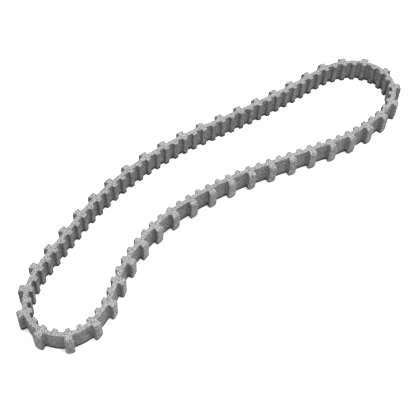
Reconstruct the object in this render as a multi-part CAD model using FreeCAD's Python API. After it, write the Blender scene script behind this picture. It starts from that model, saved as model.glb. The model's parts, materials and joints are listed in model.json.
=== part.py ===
import FreeCAD, Part
import math
import os

os.makedirs("parts", exist_ok=True)

# An endless rubber drive belt standing on its edge: drive teeth inside, gripping lugs outside.
# Units are millimetres. +Z runs across the belt's width, and the loop's long way lies along X.
# The origin is the middle of the footprint, on the surface that the lower edge stands on.

# ---- driving dimensions -------------------------------------------------------------
TOOTH_PITCH = 9.525  # 3/8 inch between drive teeth, along the pitch line
TEETH_PER_LUG = 2
LUGS = 45
WIDTH = 19.05  # 3/4 inch belt width

BAND_INSIDE = 1.2  # from the pitch line in to the root of the drive teeth
BAND_OUTSIDE = 2.6  # from the pitch line out to the root of the lugs

TOOTH_WIDTH = 4.2  # along the belt
TOOTH_HEIGHT = 2.6
TOOTH_TIP_RADIUS = 0.9

LUG_ROOT_WIDTH = 4.8  # along the belt, where the lug meets the band
LUG_TIP_WIDTH = 7.4  # the lug flares towards its tip
LUG_HEIGHT = 5.0
LUG_CORNER_RADIUS = 0.9  # the two upright corners of the tip
LUG_EDGE_RADIUS = 3.0  # the tip's upper and lower edges

CORDS = 6  # tensile cords side by side across the width
CORD_DIAMETER = 0.8
CORD_SPACING = 3.0
CORD_CLEARANCE = 0.05  # all round each cord, in its channel

SECTION_LUGS = 3  # lugs on each stiff section of the belt
SECTION_GAP = 0.30  # room for the bend between two sections, on the pitch line

# The loop's plan, clockwise seen from above, starting on the straight near the small end.
# A bend is (radius, degrees): a minus turns right, round the outside of the loop, and a
# plus turns left, on the hollow side. STRAIGHT is a straight run whose length is worked out.
STRAIGHT = None
FIRST_HEADING = 18.8
FIRST_LUG_BEFORE_START = 23.2  # the first lug stands this far before the first straight
LOOP = [
    STRAIGHT,
    (270, -29),
    STRAIGHT,
    (650, 7.5),
    (60, -35),
    (30, -111),
    (57, -26),
    (156, -22.5),
    STRAIGHT,
    (287, 15.5),
    (145, 36.5),
    (70, -25.5),
    (27, -139.5),
    (61, -31),
]

# ---- worked out from them -----------------------------------------------------------
LUG_PITCH = TOOTH_PITCH * TEETH_PER_LUG
PITCH_LENGTH = LUG_PITCH * LUGS
SECTIONS = LUGS // SECTION_LUGS
SECTION_LENGTH = SECTION_LUGS * LUG_PITCH
FIRST_BOUNDARY = -LUG_PITCH / 4  # midway between a lug's own tooth and the tooth before it
ROOTED = 1.0  # how far a tooth or lug is drawn into the band before it is trimmed flush


def determinant(m):
    """Determinant of a 3 by 3 matrix, given as its rows."""
    (a, b, c), (d, e, f), (g, h, i) = m
    return a * (e * i - f * h) - b * (d * i - f * g) + c * (d * h - e * g)


def straight_lengths():
    """Lengths of the three straights that close the loop at its pitch length."""
    heading = math.radians(FIRST_HEADING)
    columns = []
    rest = [0.0, 0.0, PITCH_LENGTH]
    for step in LOOP:
        if step is STRAIGHT:
            columns.append((math.cos(heading), math.sin(heading), 1.0))
            continue
        radius, turn = step[0], math.radians(step[1])
        side = math.copysign(radius, turn)
        rest[0] -= side * (math.sin(heading + turn) - math.sin(heading))
        rest[1] += side * (math.cos(heading + turn) - math.cos(heading))
        rest[2] -= radius * abs(turn)
        heading += turn
    rows = [list(row) for row in zip(*columns)]
    whole = determinant(rows)
    lengths = []
    for k in range(3):
        swapped = [row[:k] + [rest[n]] + row[k + 1 :] for n, row in enumerate(rows)]
        lengths.append(determinant(swapped) / whole)
    return lengths


def along(x, y, heading, curvature, distance):
    """The point and heading after going a distance along a straight or an arc."""
    end = heading + curvature * distance
    if curvature == 0:
        return x + distance * math.cos(heading), y + distance * math.sin(heading), end
    dx = (math.sin(end) - math.sin(heading)) / curvature
    dy = (math.cos(heading) - math.cos(end)) / curvature
    return x + dx, y + dy, end


def pitch_line():
    """The pitch line's pieces in order: (start, length, x, y, heading, curvature)."""
    pieces = []
    straights = iter(straight_lengths())
    x, y, heading = 0.0, 0.0, math.radians(FIRST_HEADING)
    start = FIRST_LUG_BEFORE_START
    for step in LOOP:
        if step is STRAIGHT:
            length, curvature = next(straights), 0.0
        else:
            length = step[0] * math.radians(abs(step[1]))
            curvature = math.copysign(1.0 / step[0], step[1])
        pieces.append((start, length, x, y, heading, curvature))
        x, y, heading = along(x, y, heading, curvature, length)
        start += length
    return pieces


PIECES = pitch_line()


def place(station, out=0.0):
    """Plan point at a station along the pitch line, moved out of the loop, and its heading."""
    station = (station - FIRST_LUG_BEFORE_START) % PITCH_LENGTH + FIRST_LUG_BEFORE_START
    for start, length, x, y, heading, curvature in PIECES:
        if station <= start + length:
            break
    px, py, h = along(x, y, heading, curvature, station - start)
    return FreeCAD.Vector(px - out * math.sin(h), py + out * math.cos(h), 0), h


def pieces_between(first, last):
    """The stretches of single curvature between two stations: (from, to, is_arc)."""
    stretches = []
    for turn in (-PITCH_LENGTH, 0.0, PITCH_LENGTH):
        for start, length, _, _, _, curvature in PIECES:
            low = max(first, start + turn)
            high = min(last, start + turn + length)
            if high - low > 1e-6:
                stretches.append((low, high, curvature != 0))
    return sorted(stretches)


def offset_edges(first, last, out, backwards=False):
    """Edges beside the pitch line between two stations, at a distance out of the loop."""
    edges = []
    for low, high, is_arc in pieces_between(first, last):
        a = place(low, out)[0]
        b = place(high, out)[0]
        if backwards:
            a, b = b, a
        if is_arc:
            middle = place((low + high) / 2, out)[0]
            edges.append(Part.Arc(a, middle, b).toShape())
        else:
            edges.append(Part.LineSegment(a, b).toShape())
    return edges[::-1] if backwards else edges


def line(a, b):
    return Part.LineSegment(a, b).toShape()


def local_to_plan(shape, station):
    """A copy of a shape drawn at the origin, with +X along the belt and +Y out of the loop."""
    point, heading = place(station)
    moved = shape.copy()
    turn = FreeCAD.Rotation(FreeCAD.Vector(0, 0, 1), math.degrees(heading))
    moved.Placement = FreeCAD.Placement(point, turn)
    return moved


def rounded_block(root_half, tip_half, root, tip, radius):
    """An upright block whose plan runs from root to tip, with the tip's corners rounded."""
    side = FreeCAD.Vector(tip_half - root_half, tip - root, 0)
    side.normalize()
    half_corner = (math.pi - math.atan2(abs(side.y), side.x)) / 2
    reach = radius / math.tan(half_corner)
    sink = radius / math.sin(half_corner) - radius
    bisector = FreeCAD.Vector(-1, 0, 0) - side
    bisector.normalize()
    corner = FreeCAD.Vector(tip_half, tip, 0)
    before = corner - side * reach
    middle = corner + bisector * sink
    after = corner - FreeCAD.Vector(reach, 0, 0)
    right = [FreeCAD.Vector(root_half, root, 0), before, middle, after]
    left = [FreeCAD.Vector(-p.x, p.y, 0) for p in right]
    edges = [
        line(left[0], right[0]),
        line(right[0], right[1]),
        Part.Arc(right[1], right[2], right[3]).toShape(),
        line(right[3], left[3]),
        Part.Arc(left[3], left[2], left[1]).toShape(),
        line(left[1], left[0]),
    ]
    face = Part.Face(Part.Wire(edges))
    return face.extrude(FreeCAD.Vector(0, 0, WIDTH))


def tooth():
    """One drive tooth, a little longer than it shows, with its root inside the band."""
    tip = -(BAND_INSIDE + TOOTH_HEIGHT)
    half = TOOTH_WIDTH / 2
    return rounded_block(half, half, -BAND_INSIDE + ROOTED, tip, TOOTH_TIP_RADIUS)


def lug():
    """One gripping lug: flared in plan, with its tip's upper and lower edges rounded."""
    tip = BAND_OUTSIDE + LUG_HEIGHT
    flare = (LUG_TIP_WIDTH - LUG_ROOT_WIDTH) / 2 / LUG_HEIGHT
    root_half = LUG_ROOT_WIDTH / 2 - flare * ROOTED
    root = BAND_OUTSIDE - ROOTED
    block = rounded_block(root_half, LUG_TIP_WIDTH / 2, root, tip, LUG_CORNER_RADIUS)
    r = LUG_EDGE_RADIUS
    bend = r * (1 - math.sqrt(0.5))
    x = -LUG_TIP_WIDTH

    def at(out, up):
        return FreeCAD.Vector(x, out, up)

    side = [
        line(at(0, 0), at(tip - r, 0)),
        Part.Arc(at(tip - r, 0), at(tip - bend, bend), at(tip, r)).toShape(),
        line(at(tip, r), at(tip, WIDTH - r)),
        Part.Arc(at(tip, WIDTH - r), at(tip - bend, WIDTH - bend), at(tip - r, WIDTH)).toShape(),
        line(at(tip - r, WIDTH), at(0, WIDTH)),
        line(at(0, WIDTH), at(0, 0)),
    ]
    slab = Part.Face(Part.Wire(side)).extrude(FreeCAD.Vector(2 * LUG_TIP_WIDTH, 0, 0))
    return block.common(slab)


def band(first, last):
    """The plain band between two stations, before its cord channels are cut."""
    outer = offset_edges(first, last, BAND_OUTSIDE)
    inner = offset_edges(first, last, -BAND_INSIDE, backwards=True)
    far_end = line(place(last, BAND_OUTSIDE)[0], place(last, -BAND_INSIDE)[0])
    near_end = line(place(first, -BAND_INSIDE)[0], place(first, BAND_OUTSIDE)[0])
    face = Part.Face(Part.Wire(outer + [far_end] + inner + [near_end]))
    return face.extrude(FreeCAD.Vector(0, 0, WIDTH))


def cord(first, last, height, diameter):
    """A round cord along the pitch line between two stations, at a height."""
    path = Part.Wire(offset_edges(first, last, 0.0))
    path.translate(FreeCAD.Vector(0, 0, height))
    start, heading = place(first)
    start.z = height
    along_belt = FreeCAD.Vector(math.cos(heading), math.sin(heading), 0)
    circle = Part.Wire([Part.Circle(start, along_belt, diameter / 2).toShape()])
    return path.makePipeShell([circle], True, True)


def cord_heights():
    middle = WIDTH / 2
    return [middle + (k - (CORDS - 1) / 2) * CORD_SPACING for k in range(CORDS)]


def section(number, tooth_shape, lug_shape):
    """The four pieces of one section, each a named shape."""
    first = FIRST_BOUNDARY + number * SECTION_LENGTH + SECTION_GAP / 2
    last = FIRST_BOUNDARY + (number + 1) * SECTION_LENGTH - SECTION_GAP / 2
    plain = band(first, last)
    lug_stations = [(number * SECTION_LUGS + k) * LUG_PITCH for k in range(SECTION_LUGS)]
    teeth = []
    for station in lug_stations:
        for k in range(TEETH_PER_LUG):
            teeth.append(local_to_plan(tooth_shape, station + k * TOOTH_PITCH).cut(plain))
    lugs = [local_to_plan(lug_shape, station).cut(plain) for station in lug_stations]
    cords = [cord(first, last, z, CORD_DIAMETER) for z in cord_heights()]
    channel = CORD_DIAMETER + 2 * CORD_CLEARANCE
    channels = [cord(first - 1, last + 1, z, channel) for z in cord_heights()]
    label = f"{number + 1:02d}"
    return {
        f"band_{label}": plain.cut(channels),
        f"lugs_{label}": Part.makeCompound(lugs),
        f"teeth_{label}": Part.makeCompound(teeth),
        f"cords_{label}": Part.makeCompound(cords),
    }


def hinge_points():
    """Where the pitch line bends between sections: entry k is before section k + 1."""
    return [place(FIRST_BOUNDARY + k * SECTION_LENGTH)[0] for k in range(SECTIONS)]


def build():
    """Every piece, moved so that the origin is the middle of the footprint."""
    tooth_shape = tooth()
    lug_shape = lug()
    pieces = {}
    for number in range(SECTIONS):
        pieces.update(section(number, tooth_shape, lug_shape))
    box = Part.makeCompound(list(pieces.values())).optimalBoundingBox(False, False)
    shift = FreeCAD.Vector(-box.Center.x, -box.Center.y, 0)
    for shape in pieces.values():
        shape.translate(shift)
    hinges = [point + shift for point in hinge_points()]
    return pieces, hinges, box


pieces, hinges, box = build()
for name, shape in pieces.items():
    shape.exportStep(f"parts/{name}.step")

print(f"belt: {box.XLength:.2f} x {box.YLength:.2f} x {box.ZLength:.2f} mm, {len(pieces)} nodes")
print("straights:", ", ".join(f"{length:.2f}" for length in straight_lengths()), "mm")
cord_run = SECTION_LENGTH - SECTION_GAP
cord_area = math.pi * CORD_DIAMETER**2 / 4
for number in range(SECTIONS):
    drawn = pieces[f"cords_{number + 1:02d}"].Volume
    print(f"cords_{number + 1:02d}: volume / (area x length) {drawn / (CORDS * cord_area * cord_run):.5f}")
for k, point in enumerate(hinges):
    print(f"bend before section {k + 1:02d}: {point.x:.4f}, {point.y:.4f}")
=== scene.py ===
# %% [markdown]
# # A toothed rubber belt, modelled as one moulding that can bend
#
# This lesson builds the looks of an endless grey rubber drive belt that stands on its edge.
# The belt has narrow drive teeth inside its loop and flared gripping lugs outside it.
# The engineering model comes first, as a fixed frame of sections, hinges and cords.
# We could show those sections as they are, but each joint would leave a thin slot.
# So the rubber is drawn again here, without slots; the teeth, the lugs and the two half stretches
# at the open place follow their sections.

# %% Load the frame
import json
import math

import bmesh
import bpy
import numpy as np
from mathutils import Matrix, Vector

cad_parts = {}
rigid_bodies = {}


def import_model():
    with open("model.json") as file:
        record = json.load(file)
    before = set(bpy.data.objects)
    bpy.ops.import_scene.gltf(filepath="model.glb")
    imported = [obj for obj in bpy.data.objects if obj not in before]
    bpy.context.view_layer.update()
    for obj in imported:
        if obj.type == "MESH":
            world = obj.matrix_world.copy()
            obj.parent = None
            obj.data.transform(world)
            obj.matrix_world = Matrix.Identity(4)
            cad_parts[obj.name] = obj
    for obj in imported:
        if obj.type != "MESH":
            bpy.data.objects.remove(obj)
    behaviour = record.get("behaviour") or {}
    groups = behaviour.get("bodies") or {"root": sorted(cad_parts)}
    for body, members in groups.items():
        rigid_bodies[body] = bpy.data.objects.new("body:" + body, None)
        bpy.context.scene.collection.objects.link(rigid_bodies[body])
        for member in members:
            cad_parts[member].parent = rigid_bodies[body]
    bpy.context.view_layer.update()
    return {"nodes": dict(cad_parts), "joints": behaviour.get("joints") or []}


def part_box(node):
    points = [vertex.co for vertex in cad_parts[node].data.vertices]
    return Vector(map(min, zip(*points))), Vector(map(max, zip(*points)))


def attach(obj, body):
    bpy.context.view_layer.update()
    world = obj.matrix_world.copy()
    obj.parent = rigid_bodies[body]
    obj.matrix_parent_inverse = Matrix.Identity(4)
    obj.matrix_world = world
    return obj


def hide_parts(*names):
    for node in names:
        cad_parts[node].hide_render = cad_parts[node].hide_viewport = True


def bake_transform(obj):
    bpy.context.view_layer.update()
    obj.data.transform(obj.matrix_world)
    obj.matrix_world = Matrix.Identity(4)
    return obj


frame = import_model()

MM = 0.001

# %% [markdown]
# ## The belt's sizes
#
# A belt is described by very few numbers: the pitch of its teeth, how many lugs it has, its
# width, and the profile of one tooth and one lug.
# Everything below is worked out from them, in millimetres, and turned to metres only when a
# mesh is made.
# Typing every corner of every lug would also work, but nobody could change it afterwards.

# %% Sizes in millimetres
TOOTH_PITCH = 9.525
LUG_PITCH = 2 * TOOTH_PITCH
LUGS = 45
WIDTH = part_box("band_01")[1].z / MM
BAND_INSIDE = 1.2
BAND_OUTSIDE = 2.6
BAND_EDGE = 0.35

TOOTH_HALF = 2.1
TOOTH_HEIGHT = 2.6
TOOTH_TIP_RADIUS = 0.9
TOOTH_ROOT_FILLET = 0.95

LUG_ROOT_HALF = 2.4
LUG_TIP_HALF = 3.7
LUG_HEIGHT = 5.0
LUG_TIP_RADIUS = 0.9
LUG_ROOT_FILLET = 0.9
LUG_EDGE_RADIUS = 3.0
LUG_CROWN = 0.12

SECTION_LUGS = 3
SECTIONS = LUGS // SECTION_LUGS
SECTION_LENGTH = SECTION_LUGS * LUG_PITCH
PITCH_LENGTH = LUGS * LUG_PITCH
print(f"belt {WIDTH:.2f} mm wide, pitch length {PITCH_LENGTH:.2f} mm, {SECTIONS} sections")

# %% [markdown]
# ## The loop seen from above
#
# A belt laid down loosely takes the shape of a few long arcs joined by nearly straight runs.
# A freehand spline would look right too, but its length would be anything.
# Here the bends are given as radius and angle, and the three straight runs are solved so that
# the loop closes and is exactly as long as the belt.

# %% Bends and straights of the pitch line
STRAIGHT = None
FIRST_HEADING = 18.8
FIRST_LUG_BEFORE_START = 23.2
BENDS = [
    STRAIGHT, (270, -29), STRAIGHT, (650, 7.5), (60, -35), (30, -111), (57, -26),
    (156, -22.5), STRAIGHT, (287, 15.5), (145, 36.5), (70, -25.5), (27, -139.5), (61, -31),
]


def step_along(heading, curvature, length):
    """How far x and y move along an arc (or a straight, where the curvature is 0)."""
    if curvature == 0:
        return length * math.cos(heading), length * math.sin(heading)
    end = heading + curvature * length
    dx = (math.sin(end) - math.sin(heading)) / curvature
    dy = (math.cos(heading) - math.cos(end)) / curvature
    return dx, dy


def solve_loop():
    """The pitch line as a list of (start station, length, x, y, heading, curvature)."""
    heading = math.radians(FIRST_HEADING)
    unknown = []
    rest = np.array([0.0, 0.0, PITCH_LENGTH])
    for bend in BENDS:
        if bend is STRAIGHT:
            unknown.append([math.cos(heading), math.sin(heading), 1.0])
            continue
        turn = math.radians(bend[1])
        curvature = math.copysign(1 / bend[0], turn)
        length = bend[0] * abs(turn)
        rest -= [*step_along(heading, curvature, length), length]
        heading += turn
    runs = iter(np.linalg.solve(np.array(unknown).T, rest))
    heading = math.radians(FIRST_HEADING)
    pieces = []
    x = y = 0.0
    start = FIRST_LUG_BEFORE_START
    for bend in BENDS:
        curvature = 0.0 if bend is STRAIGHT else math.copysign(1 / bend[0], bend[1])
        length = next(runs) if bend is STRAIGHT else bend[0] * math.radians(abs(bend[1]))
        pieces.append((start, length, x, y, heading, curvature))
        dx, dy = step_along(heading, curvature, length)
        x, y, start = x + dx, y + dy, start + length
        heading += curvature * length
    return pieces


LOOP = solve_loop()
print("pitch line pieces:", len(LOOP))

# %% [markdown]
# ## One function that places everything
#
# `spot` takes a station, which is a distance along the belt, and a distance out of the loop,
# and answers with a point on the ground plan.
# The loop is drawn from its own starting point, so it still has to be slid onto the frame.
# The hinges stand on the pitch line, and any one of them gives that slide.

# %% Stations to plan points
slide = np.zeros(2)


def spot(station, out=0.0):
    """Plan point (mm) at a station, moved out of the loop, and the belt's heading there."""
    station = (station - FIRST_LUG_BEFORE_START) % PITCH_LENGTH + FIRST_LUG_BEFORE_START
    for start, length, x, y, heading, curvature in LOOP:
        if station <= start + length:
            break
    run = station - start
    dx, dy = step_along(heading, curvature, run)
    h = heading + curvature * run
    normal = np.array([-math.sin(h), math.cos(h)])
    return np.array([x + dx, y + dy]) + out * normal + slide, h


def hinge_station(number):
    """Where section `number` (counted from 0) begins."""
    return number * SECTION_LENGTH - LUG_PITCH / 4


first_hinge = next(j for j in frame["joints"] if j["name"] == "bend_01")
slide = np.array(first_hinge["pos_m"][:2]) / MM - spot(hinge_station(0))[0]
worst = 0.0
for joint in frame["joints"]:
    here = np.array(joint["pos_m"][:2]) / MM
    nearest = min(np.linalg.norm(here - spot(hinge_station(k))[0]) for k in range(SECTIONS))
    worst = max(worst, nearest)
print(f"slide onto the frame {slide.round(3)}, hinges within {worst:.5f} mm")

# %% [markdown]
# ## Lofting: one helper for every rubber piece
#
# The band, the teeth and the lugs are all the same kind of solid: a closed outline that is
# repeated along a path, with a flat cap at each end.
# A stack of primitive boxes with a bevel would be quicker, but then no fillet could flow
# from one face into the next.
# `loft` takes a stack of rings with equal numbers of points and skins them.

# %% The loft helper
SHARP_DEGREES = 40  # rounds stay smooth, and flat end caps keep a crisp rim


def loft(name, ring_stacks):
    """A mesh object from stacks of rings (arrays of n points in mm), one closed solid each."""
    mesh = bpy.data.meshes.new(name)
    builder = bmesh.new()
    for rings in ring_stacks:
        rows = [[builder.verts.new(Vector(p) * MM) for p in ring] for ring in rings]
        count = len(rows[0])
        for low, high in zip(rows, rows[1:]):
            for k in range(count):
                n = (k + 1) % count
                builder.faces.new((low[k], low[n], high[n], high[k]))
        builder.faces.new(rows[0][::-1])
        builder.faces.new(rows[-1])
    bmesh.ops.recalc_face_normals(builder, faces=builder.faces)
    builder.to_mesh(mesh)
    builder.free()
    mesh.shade_smooth()
    mesh.set_sharp_from_angle(angle=math.radians(SHARP_DEGREES))
    piece = bpy.data.objects.new(name, mesh)
    bpy.context.scene.collection.objects.link(piece)
    return piece


def arc_points(centre, radius, start_deg, end_deg, steps):
    """Points on an arc, both ends included."""
    angles = np.radians(np.linspace(start_deg, end_deg, steps + 1))
    return [np.array(centre) + radius * np.array([math.cos(a), math.sin(a)]) for a in angles]


def inset(outline, amount):
    """The closed outline moved inwards by an amount, point by point."""
    points = np.array(outline)
    before = points - np.roll(points, 1, axis=0)
    after = np.roll(points, -1, axis=0) - points
    before /= np.linalg.norm(before, axis=1)[:, None]
    after /= np.linalg.norm(after, axis=1)[:, None]
    tangent = before + after
    tangent /= np.linalg.norm(tangent, axis=1)[:, None]
    x, y = points.T
    area = np.sum(x * np.roll(y, -1) - y * np.roll(x, -1))
    inward = np.stack([-tangent[:, 1], tangent[:, 0]], axis=1) * math.copysign(1, area)
    return points + inward * amount


print("faces that meet at less than", SHARP_DEGREES, "degrees shade smoothly")

# %% [markdown]
# ## The band
#
# The band is the thin web that carries the teeth and lugs, and the cords run inside it.
# Its section is a flat bar with softly rounded edges, because a mould never leaves a razor
# edge and a rounded edge catches a thin line of light.
# Each stretch is centred on a hinge, so the seams fall between hinges, on stiff rubber. A stretch
# across a hinge stays where it is made and follows neither section; only the two halves at the
# open place ride on sections.

# %% Band cross-section and stretches
RING_STEP = 1.2
SUPPORT = 0.2
BAND_EDGE_STEPS = 4


def arc_heading(degrees):
    """The way an arc runs, as a unit vector, at an angle round its centre."""
    a = math.radians(degrees)
    return np.array([-math.sin(a), math.cos(a)])


def band_outline():
    """The band's section as (out, up) points, with a support point beside each round."""
    corners = [
        (BAND_OUTSIDE - BAND_EDGE, WIDTH - BAND_EDGE, 0),
        (-BAND_INSIDE + BAND_EDGE, WIDTH - BAND_EDGE, 90),
        (-BAND_INSIDE + BAND_EDGE, BAND_EDGE, 180),
        (BAND_OUTSIDE - BAND_EDGE, BAND_EDGE, 270),
    ]
    points = []
    for out, up, start in corners:
        turn = arc_points((out, up), BAND_EDGE, start, start + 90, BAND_EDGE_STEPS)
        lead = turn[0] - SUPPORT * arc_heading(start)
        tail = turn[-1] + SUPPORT * arc_heading(start + 90)
        points += [lead, *turn, tail]
    return points


def band_rings(first, last):
    """Rings of the band's section from one station to another."""
    outline = band_outline()
    count = max(2, round((last - first) / RING_STEP))
    rings = []
    for station in np.linspace(first, last, count + 1):
        ring = []
        for out, up in outline:
            (x, y), _ = spot(station, out)
            ring.append((x, y, up))
        rings.append(ring)
    return rings


print("points round the band:", len(band_outline()))

# %% [markdown]
# ## Which section does each stretch follow?
#
# The frame opens the loop at one place, because a chain of hinges can't close on itself. At the
# open place two half stretches meet instead, and each rides on its own section. Their ends stay
# a few thousandths of a millimetre apart, too little to see, so that they never press into each
# other as the loop bends.

# %% Make the band stretches
OPEN_GAP = 0.006
joined = {frozenset((j["parent"], j["child"])) for j in frame["joints"]}
band_pieces = []


def section_name(number):
    return f"section_{number % SECTIONS + 1:02d}"


def cad_node(kind, number):
    return f"{kind}_{number % SECTIONS + 1:02d}"


for number in range(SECTIONS):
    middle = hinge_station(number)
    first, last = middle - SECTION_LENGTH / 2, middle + SECTION_LENGTH / 2
    before, after = section_name(number - 1), section_name(number)
    label = f"{number + 1:02d}"
    if frozenset((before, after)) in joined:
        piece = loft(f"band_stretch_{label}", [band_rings(first, last)])
        here, heading = spot(middle)
        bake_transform(piece)
        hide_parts(cad_node("band", number - 1), cad_node("band", number))
        band_pieces.append(piece)
        continue
    halves = (
        ("a", before, first, middle - OPEN_GAP / 2),
        ("b", after, middle + OPEN_GAP / 2, last),
    )
    for half, body, low, high in halves:
        piece = loft(f"band_stretch_{label}_{half}", [band_rings(low, high)])
        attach(piece, body)
        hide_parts(body.replace("section", "band"))
        band_pieces.append(piece)
print("band stretches:", len(band_pieces))

# %% [markdown]
# ## Drive teeth
#
# A drive tooth is a narrow bar across the whole width, with a round nose so that it slips
# into the pulley's groove, and a small fillet at its root so that the rubber doesn't crack.
# Each tooth is one outline in plan, stacked from the lower edge of the belt to the upper.
# The root is drawn well into the band, past the band's own rounded edge, so the edge faces of
# tooth and band read as one moulding.
# Two faces in exactly the same place would flicker, so a tooth ends a hair below the band's edge.

# %% One tooth in plan
ROOT_SINK = 0.8
EDGE_ROUND = 0.3
EDGE_DEGREES = (0, 22.5, 45, 67.5, 90)
FLUSH = 0.02
TOOTH_FILLET_STEPS = 4
TOOTH_NOSE_STEPS = 5


def tooth_outline():
    """Plan outline of a tooth as (along, out) points, from one side of its root to the other."""
    face = -BAND_INSIDE
    tip = face - TOOTH_HEIGHT
    fillet = arc_points((TOOTH_HALF + TOOTH_ROOT_FILLET, face - TOOTH_ROOT_FILLET),
                        TOOTH_ROOT_FILLET, 90, 180, TOOTH_FILLET_STEPS)
    nose = arc_points((TOOTH_HALF - TOOTH_TIP_RADIUS, tip + TOOTH_TIP_RADIUS),
                      TOOTH_TIP_RADIUS, 0, -90, TOOTH_NOSE_STEPS)
    skirt = np.array([TOOTH_HALF + TOOTH_ROOT_FILLET, face + ROOT_SINK])
    right = [skirt, *fillet, *nose]
    left = [np.array([-p[0], p[1]]) for p in right[::-1]]
    return right + left


def rising_heights():
    """(height, inset) pairs up a bar whose two end edges are slightly rounded."""
    steps = [math.radians(a) for a in EDGE_DEGREES]
    lower = [(EDGE_ROUND * (1 - math.sin(a)), EDGE_ROUND * (1 - math.cos(a))) for a in steps]
    lower = [(0.0, EDGE_ROUND + SUPPORT)] + lower[::-1]
    middle = [(EDGE_ROUND + SUPPORT, 0.0), (WIDTH - EDGE_ROUND - SUPPORT, 0.0)]
    upper = [(WIDTH - up, amount) for up, amount in lower[::-1]]
    return lower + middle + upper


def in_place(outline, station, height):
    """An (along, out) outline as a ring of points on the belt at a station and height."""
    centre, heading = spot(station)
    height = FLUSH + height * (1 - 2 * FLUSH / WIDTH)
    along = np.array([math.cos(heading), math.sin(heading)])
    outward = np.array([-math.sin(heading), math.cos(heading)])
    return [(*(centre + a * along + o * outward), height) for a, o in outline]


def tooth_rings(station):
    outline = tooth_outline()
    return [in_place(inset(outline, amount), station, up) for up, amount in rising_heights()]


print("rings up a tooth:", len(rising_heights()))

# %% [markdown]
# ## Teeth, one group for each section
#
# Six teeth belong to a section, so they are one mesh of six closed solids and ride rigidly.
# Moving them one by one would be ninety pieces for the same picture.

# %% Make the teeth
tooth_pieces = []
for number in range(SECTIONS):
    stations = [number * SECTION_LENGTH + k * TOOTH_PITCH for k in range(2 * SECTION_LUGS)]
    piece = loft(f"drive_teeth_{number + 1:02d}", [tooth_rings(s) for s in stations])
    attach(piece, section_name(number))
    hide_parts(cad_node("teeth", number))
    tooth_pieces.append(piece)
print("tooth groups:", len(tooth_pieces))

# %% [markdown]
# ## Gripping lugs
#
# A lug is the part that bites the ground: narrow at its root, flared towards its tip, and
# rounded over at the tip's upper and lower edges so that it peels out of the mould.
# A cube with a bevel can't do that, because the fillet at the root is hollow and the edge at
# the tip is full.
# So the outline is worked out again at each height, for the tip position at that height, and
# where the tip is rounded away the fillet and the nose shrink with it.

# %% One lug in plan
RADIUS_SHARE = 0.38  # the most of a lug's height that its fillet or its nose may take
LUG_ARC_STEPS = 6
LUG_EDGE_DEGREES = (12, 24, 36, 48, 60, 72, 84)
CROWN_PLACES = (0.66, 0.33)  # where the crown has points, as shares of its half width


def lug_outline(tip):
    """Plan outline of a lug whose tip is at `tip`, as (along, out) points."""
    slope = (LUG_TIP_HALF - LUG_ROOT_HALF) / LUG_HEIGHT
    lean = math.degrees(math.atan(slope))
    half_at_tip = LUG_ROOT_HALF + slope * (tip - BAND_OUTSIDE)
    room = RADIUS_SHARE * (tip - BAND_OUTSIDE)
    r = min(LUG_ROOT_FILLET, room)
    hollow = (LUG_ROOT_HALF + slope * r + r / math.cos(math.radians(lean)), BAND_OUTSIDE + r)
    fillet = arc_points(hollow, r, 270, 180 - lean, LUG_ARC_STEPS)
    r = min(LUG_TIP_RADIUS, room)
    centre_out = tip - r
    centre_along = half_at_tip - slope * r - r / math.cos(math.radians(lean))
    nose = arc_points((centre_along, centre_out), r, -lean, 90, LUG_ARC_STEPS)
    skirt = np.array([hollow[0], BAND_OUTSIDE - ROOT_SINK])
    crown = [np.array([centre_along * f, tip + LUG_CROWN * (1 - f * f)]) for f in CROWN_PLACES]
    right = [skirt, *fillet, *nose, *crown]
    left = [np.array([-p[0], p[1]]) for p in right[::-1]]
    return right + left


def lug_heights():
    """(height, tip position, inset) up a lug, with its tip rounded over at both ends."""
    full = BAND_OUTSIDE + LUG_HEIGHT - LUG_CROWN
    r = LUG_EDGE_RADIUS
    lower = [(0.0, full - r, EDGE_ROUND + SUPPORT), (0.0, full - r, EDGE_ROUND)]
    for degrees in LUG_EDGE_DEGREES:
        a = math.radians(degrees)
        up = r * (1 - math.cos(a))
        round_off = max(0.0, EDGE_ROUND - up)
        small = EDGE_ROUND - math.sqrt(max(0.0, EDGE_ROUND**2 - round_off**2))
        lower.append((up, full - r + r * math.sin(a), small))
    lower.append((r + SUPPORT, full, 0.0))
    upper = [(WIDTH - up, tip, amount) for up, tip, amount in lower[::-1]]
    return lower + upper


def lug_rings(station):
    return [in_place(inset(lug_outline(tip), amount), station, up)
            for up, tip, amount in lug_heights()]


print("points round a lug:", len(lug_outline(BAND_OUTSIDE + LUG_HEIGHT)))

# %% [markdown]
# ## Lugs, one group for each section
#
# Three lugs stand on each section, one over every second tooth, and they ride on it rigidly.
# On the real belt they bend a little at the root too, but the pull is carried by the band, so
# a stiff lug on a bending band looks right.

# %% Make the lugs
lug_pieces = []
for number in range(SECTIONS):
    stations = [number * SECTION_LENGTH + k * LUG_PITCH for k in range(SECTION_LUGS)]
    piece = loft(f"gripping_lugs_{number + 1:02d}", [lug_rings(s) for s in stations])
    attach(piece, section_name(number))
    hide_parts(cad_node("lugs", number))
    lug_pieces.append(piece)
print("lug groups:", len(lug_pieces))

# %% [markdown]
# ## The rubber
#
# Grey moulded rubber is matt, but it is never one flat grey.
# Faces that point up or down are painted paler, standing in for light from above, and the side
# faces are painted darker, as painted shade.
# The filler settles unevenly, which leaves a cloudy mottle, and the mould's own grain breaks up
# every highlight.
# A painted texture would show all this at once, but it would need unwrapping and would
# repeat; noise in nodes covers any shape and never repeats.
# These helpers add one node each, so that the material below reads like a recipe.

# %% Node helpers
def add_node(tree, kind, **inputs):
    node = tree.nodes.new(kind)
    for key, value in inputs.items():
        node.inputs[key.replace("_", " ")].default_value = value
    return node


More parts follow.
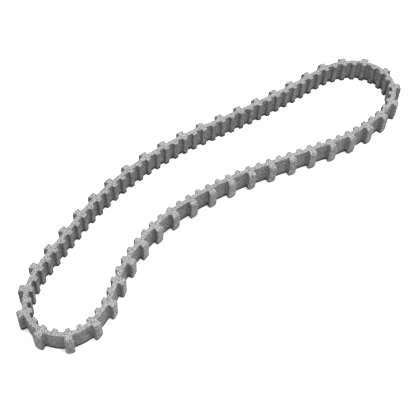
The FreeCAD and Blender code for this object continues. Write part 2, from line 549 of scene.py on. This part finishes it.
def noise(tree, coordinates, scale, detail, rough):
    node = add_node(tree, "ShaderNodeTexNoise", Scale=scale, Detail=detail, Roughness=rough)
    tree.links.new(coordinates, node.inputs["Vector"])
    return node.outputs["Fac"]


def ramp(tree, value, low, high, dark, light):
    node = tree.nodes.new("ShaderNodeMapRange")
    node.inputs["From Min"].default_value = low
    node.inputs["From Max"].default_value = high
    node.inputs["To Min"].default_value = dark
    node.inputs["To Max"].default_value = light
    tree.links.new(value, node.inputs["Value"])
    return node.outputs["Result"]


def multiply(tree, one, other):
    node = tree.nodes.new("ShaderNodeMath")
    node.operation = "MULTIPLY"
    tree.links.new(one, node.inputs[0])
    tree.links.new(other, node.inputs[1])
    return node.outputs["Value"]


def maths(tree, operation, value):
    node = tree.nodes.new("ShaderNodeMath")
    node.operation = operation
    tree.links.new(value, node.inputs[0])
    return node.outputs["Value"]


def blend_colours(tree, amount, low, high):
    node = tree.nodes.new("ShaderNodeMix")
    node.data_type = "RGBA"
    node.inputs["A"].default_value = (*low, 1)
    node.inputs["B"].default_value = (*high, 1)
    tree.links.new(amount, node.inputs["Factor"])
    return node.outputs["Result"]


print("node helpers ready")

# %% [markdown]
# ## One recipe, three shades
#
# The colour has two tones, chosen by how far a face points up or down: faces that point up or down
# are painted paler as painted light, and side faces darker as painted shade. Two noises vary them,
# one cloudy and one as fine as the speckle of the filler.
# Two more noises drive the roughness and the bump.
# The lowest few millimetres, where the belt stands on the floor, are painted darker as painted
# shade for the contact shadow.
# Painting the paler faces as separate faces would be simpler, but then the change would be a hard
# line just where the edge is rounded.
# The noises read object coordinates, and every piece shares one origin, so the pattern runs
# on from piece to piece without a seam.

# %% The rubber material
PAINTED_LIGHT_FACING = (0.35, 0.85)  # how far a face points up or down where the painted shade of the sides starts and ends turning to painted light
CLOUD_SCALE = 28
CLOUD_RANGE = (0.3, 0.7)
MOTTLE_SCALE = 950
MOTTLE_RANGE = (0.41, 0.59)
# painted shade along the bottom: the heights in metres over which it fades out, and its darkest
# factor
PAINTED_SHADE_HEIGHTS = (0.0012, 0.0038)
PAINTED_SHADE_DARKEST = 0.10
GRAIN_SCALE = 2600
GRAIN_ROUGHNESS = (0.6, 0.82)
GRAIN_DEPTH = 0.0002
DIMPLE_SCALE = 520
DIMPLE_DEPTH = 0.0006
RUBBER_SHINE = 0.28


def rubber(name, side_faces_painted_shade, level_faces_painted_light, cloud=0.08, mottle=0.72, grain=0.30):
    """Matt rubber: side faces in a darker painted shade, faces pointing up or down in a paler
    painted light, with mottle and a fine grain.
    """
    material = bpy.data.materials.new(name)
    material.use_nodes = True
    tree = material.node_tree
    shader = tree.nodes["Principled BSDF"]
    coordinates = tree.nodes.new("ShaderNodeTexCoord")
    place = coordinates.outputs["Object"]
    facing = tree.nodes.new("ShaderNodeSeparateXYZ")
    tree.links.new(coordinates.outputs["Normal"], facing.inputs["Vector"])
    upright = maths(tree, "ABSOLUTE", facing.outputs["Z"])
    # painted light and shade: faces pointing up or down are painted paler and side faces darker,
    # in place of the light falling from above
    shade = blend_colours(tree, ramp(tree, upright, *PAINTED_LIGHT_FACING, 0, 1), side_faces_painted_shade, level_faces_painted_light)
    cloudy = noise(tree, place, CLOUD_SCALE, 3, 0.5)
    clouds = ramp(tree, cloudy, *CLOUD_RANGE, 1 - cloud, 1 + cloud)
    speckle = noise(tree, place, MOTTLE_SCALE, 4, 0.7)
    mottles = ramp(tree, speckle, *MOTTLE_RANGE, 1 - mottle, 1 + mottle)
    height = tree.nodes.new("ShaderNodeSeparateXYZ")
    tree.links.new(place, height.inputs["Vector"])
    # painted shade: the lowest few millimetres are darkened towards the floor, standing in for the
    # contact shadow where the belt stands
    painted_contact_shade = ramp(tree, height.outputs["Z"], *PAINTED_SHADE_HEIGHTS, PAINTED_SHADE_DARKEST, 1)
    amount = multiply(tree, multiply(tree, clouds, mottles), painted_contact_shade)
    tint = tree.nodes.new("ShaderNodeVectorMath")
    tint.operation = "SCALE"
    tree.links.new(shade, tint.inputs[0])
    tree.links.new(amount, tint.inputs["Scale"])
    tree.links.new(tint.outputs["Vector"], shader.inputs["Base Color"])
    fine = noise(tree, place, GRAIN_SCALE, 3, 0.6)
    tree.links.new(ramp(tree, fine, 0.3, 0.7, *GRAIN_ROUGHNESS), shader.inputs["Roughness"])
    bump = add_node(tree, "ShaderNodeBump", Strength=grain, Distance=GRAIN_DEPTH)
    tree.links.new(fine, bump.inputs["Height"])
    dimples = add_node(tree, "ShaderNodeBump", Strength=0.5, Distance=DIMPLE_DEPTH)
    tree.links.new(noise(tree, place, DIMPLE_SCALE, 3, 0.55), dimples.inputs["Height"])
    tree.links.new(bump.outputs["Normal"], dimples.inputs["Normal"])
    tree.links.new(dimples.outputs["Normal"], shader.inputs["Normal"])
    shader.inputs["Specular IOR Level"].default_value = RUBBER_SHINE
    return material


# three copies of one grey rubber in painted tones: the lugs painted lighter as lit, and the teeth
# inside the loop darker as painted shade
band_rubber = rubber("grey rubber, band", (0.086, 0.085, 0.083), (0.114, 0.113, 0.111))
lug_rubber = rubber("grey rubber, lugs", (0.096, 0.095, 0.093), (0.117, 0.116, 0.114))
tooth_rubber = rubber("grey rubber, teeth", (0.072, 0.071, 0.070), (0.112, 0.111, 0.109))
for pieces, material in ((band_pieces, band_rubber), (lug_pieces, lug_rubber),
                         (tooth_pieces, tooth_rubber)):
    for piece in pieces:
        piece.data.materials.append(material)
print("rubber on", len(band_pieces) + len(lug_pieces) + len(tooth_pieces), "pieces")

# %% [markdown]
# ## The cords inside
#
# Tensile cords carry the pull, and the rubber hides them.
# They stay as the frame has them, with a twisted yarn finish for anyone who cuts the model
# open: a wave texture at a slant gives the twist.

# %% Cord finish
TWIST_SCALE = 900


def yarn(name):
    material = bpy.data.materials.new(name)
    material.use_nodes = True
    tree = material.node_tree
    shader = tree.nodes["Principled BSDF"]
    place = tree.nodes.new("ShaderNodeTexCoord").outputs["Object"]
    twist = tree.nodes.new("ShaderNodeTexWave")
    twist.bands_direction = "DIAGONAL"
    twist.inputs["Scale"].default_value = TWIST_SCALE
    tree.links.new(place, twist.inputs["Vector"])
    colours = blend_colours(tree, twist.outputs["Fac"], (0.46, 0.40, 0.27), (0.66, 0.60, 0.44))
    tree.links.new(colours, shader.inputs["Base Color"])
    shader.inputs["Roughness"].default_value = 0.7
    return material


cord_yarn = yarn("twisted cord yarn")
cords = [node for name, node in frame["nodes"].items() if name.startswith("cords_")]
for node in cords:
    node.data.materials.clear()
    node.data.materials.append(cord_yarn)
print("cord groups:", len(cords))

# %% [markdown]
# ## The floor
#
# The belt stands on a plain pale floor, which also throws soft light back up at its sides.
# A curved studio backdrop would hide the horizon in a low view, but this belt is looked down at.

# %% Floor
FLOOR_HALF = 6.0
FLOOR_SHADE = 0.74
floor_mesh = bpy.data.meshes.new("floor")
corners = [(-FLOOR_HALF, -FLOOR_HALF, 0), (FLOOR_HALF, -FLOOR_HALF, 0),
           (FLOOR_HALF, FLOOR_HALF, 0), (-FLOOR_HALF, FLOOR_HALF, 0)]
floor_mesh.from_pydata(corners, [], [(0, 1, 2, 3)])
floor = bpy.data.objects.new("floor", floor_mesh)
bpy.context.scene.collection.objects.link(floor)
floor_finish = bpy.data.materials.new("pale floor")
floor_finish.use_nodes = True
floor_shader = floor_finish.node_tree.nodes["Principled BSDF"]
floor_shader.inputs["Base Color"].default_value = (FLOOR_SHADE, FLOOR_SHADE, FLOOR_SHADE, 1)
floor_shader.inputs["Roughness"].default_value = 0.9
floor_shader.inputs["Specular IOR Level"].default_value = 0.1
floor_mesh.materials.append(floor_finish)
print("floor", 2 * FLOOR_HALF, "m square")

# %% [markdown]
# ## Light
#
# An even sky and one very large softbox make the almost shadowless look of a catalogue picture.
# A small bright lamp would model the teeth more sharply, but it would also throw a hard shadow
# across the loop.

# %% Lights
SKY_STRENGTH = 0.42
SOFTBOX_PLACE = (0.12, -0.10, 1.3)
SOFTBOX_SIZE = 1.6
SOFTBOX_WATTS = 80
world = bpy.data.worlds.new("studio")
bpy.context.scene.world = world
world.use_nodes = True
sky = world.node_tree.nodes["Background"]
sky.inputs["Color"].default_value = (1, 1, 1, 1)
sky.inputs["Strength"].default_value = SKY_STRENGTH


def softbox(name, place, size, power, aim=(0, 0, 0)):
    """A square area light that faces a point."""
    light = bpy.data.lights.new(name, "AREA")
    light.shape = "SQUARE"
    light.size = size
    light.energy = power
    lamp = bpy.data.objects.new(name, light)
    lamp.location = place
    lamp.rotation_euler = (Vector(aim) - Vector(place)).to_track_quat("-Z", "Y").to_euler()
    bpy.context.scene.collection.objects.link(lamp)
    return lamp


softbox("overhead softbox", SOFTBOX_PLACE, SOFTBOX_SIZE, SOFTBOX_WATTS)
print("softbox", SOFTBOX_SIZE, "m square at", SOFTBOX_PLACE)

# %% [markdown]
# ## Camera
#
# The camera looks down steeply at the belt with a fairly long lens, turned so that the small
# end is near and to the left.
# It could be aimed with a tracking constraint, but two angles, a distance and a roll say
# plainly where it is.

# %% Camera
AZIMUTH = 44.47
ELEVATION = 53.21
DISTANCE = 0.686
ROLL = 3.13
LENS_MM = 74.76
SENSOR_MM = 36
AIM = Vector((-0.02575, -0.01798, WIDTH / 2 * MM))
camera_data = bpy.data.cameras.new("camera")
camera_data.lens = LENS_MM
camera_data.sensor_width = SENSOR_MM
camera_data.clip_start = 0.01
camera = bpy.data.objects.new("camera", camera_data)
bpy.context.scene.collection.objects.link(camera)
azimuth, elevation = math.radians(AZIMUTH), math.radians(ELEVATION)
looking = Vector((math.sin(azimuth) * math.cos(elevation),
                  math.cos(azimuth) * math.cos(elevation), -math.sin(elevation)))
camera.location = AIM - looking * DISTANCE
turned = looking.to_track_quat("-Z", "Y").to_matrix().to_4x4()
camera.rotation_euler = turned.to_euler()
camera.rotation_euler.rotate_axis("Z", math.radians(ROLL))
bpy.context.scene.camera = camera
bpy.context.scene.view_settings.view_transform = "Standard"
print("camera at", camera.location)
